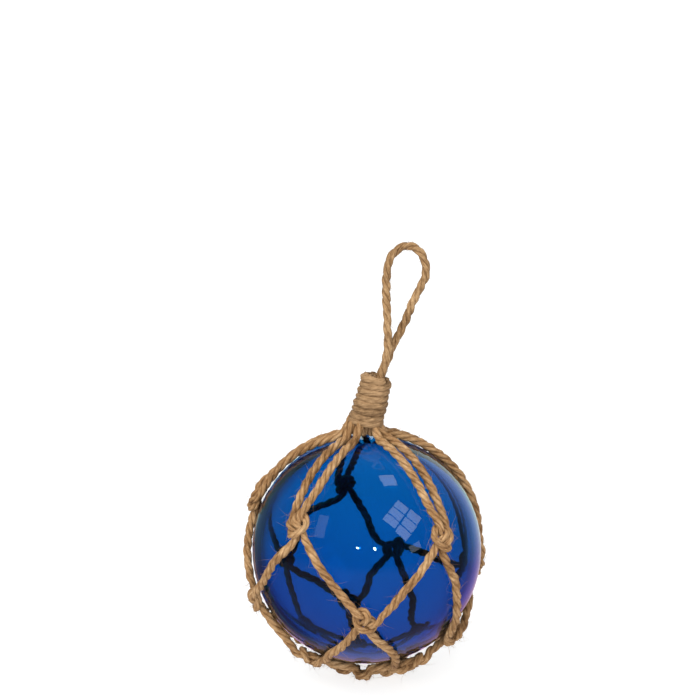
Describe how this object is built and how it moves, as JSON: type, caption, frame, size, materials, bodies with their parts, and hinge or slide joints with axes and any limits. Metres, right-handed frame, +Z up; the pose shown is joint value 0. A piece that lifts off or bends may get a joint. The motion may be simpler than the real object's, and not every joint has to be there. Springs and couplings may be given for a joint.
{
  "type": "glass float ball",
  "caption": "Clear blue glass float ball held in a knotted jute net, with a whipped neck above and a hanging loop of twine.",
  "frame": {"origin": "on the ground under the ball, in the middle of the part's outline seen from above", "axes": "+Z up through the ball towards the whipped neck, -Y the front, and the hanging loop leans towards +X"},
  "size_m": [0.108, 0.1113, 0.193],
  "materials": {
    "blue_glass": "clear cobalt-blue blown glass, smooth and glossy",
    "net_jute": "three-ply twisted natural jute twine, dry and slightly hairy",
    "whipping_jute": "greyer natural jute cord, wound in close turns",
    "loop_jute": "three-ply twisted natural jute twine, dry and slightly hairy"
  },
  "bodies": {
    "root": {"glass_ball": "blue_glass", "top_twine_1_left": "net_jute", "top_twine_1_right": "net_jute", "top_twine_2_left": "net_jute", "top_twine_2_right": "net_jute", "top_twine_3_left": "net_jute", "top_twine_3_right": "net_jute", "top_twine_4_left": "net_jute", "top_twine_4_right": "net_jute", "top_twine_5_left": "net_jute", "top_twine_5_right": "net_jute", "upper_twine_1_left": "net_jute", "upper_twine_1_right": "net_jute", "upper_twine_2_left": "net_jute", "upper_twine_2_right": "net_jute", "upper_twine_3_left": "net_jute", "upper_twine_3_right": "net_jute", "upper_twine_4_left": "net_jute", "upper_twine_4_right": "net_jute", "upper_twine_5_left": "net_jute", "upper_twine_5_right": "net_jute", "lower_twine_1_left": "net_jute", "lower_twine_1_right": "net_jute", "lower_twine_2_left": "net_jute", "lower_twine_2_right": "net_jute", "lower_twine_3_left": "net_jute", "lower_twine_3_right": "net_jute", "lower_twine_4_left": "net_jute", "lower_twine_4_right": "net_jute", "lower_twine_5_left": "net_jute", "lower_twine_5_right": "net_jute", "base_hitch_1_left": "net_jute", "base_hitch_1_right": "net_jute", "base_hitch_2_left": "net_jute", "base_hitch_2_right": "net_jute", "base_hitch_3_left": "net_jute", "base_hitch_3_right": "net_jute", "base_hitch_4_left": "net_jute", "base_hitch_4_right": "net_jute", "base_hitch_5_left": "net_jute", "base_hitch_5_right": "net_jute", "upper_knot_1": "net_jute", "upper_knot_2": "net_jute", "upper_knot_3": "net_jute", "upper_knot_4": "net_jute", "upper_knot_5": "net_jute", "middle_knot_1": "net_jute", "middle_knot_2": "net_jute", "middle_knot_3": "net_jute", "middle_knot_4": "net_jute", "middle_knot_5": "net_jute", "lower_knot_1": "net_jute", "lower_knot_2": "net_jute", "lower_knot_3": "net_jute", "lower_knot_4": "net_jute", "lower_knot_5": "net_jute", "base_ring": "net_jute", "whipping": "whipping_jute", "hanging_loop": "loop_jute"}
  },
  "joints": []
}
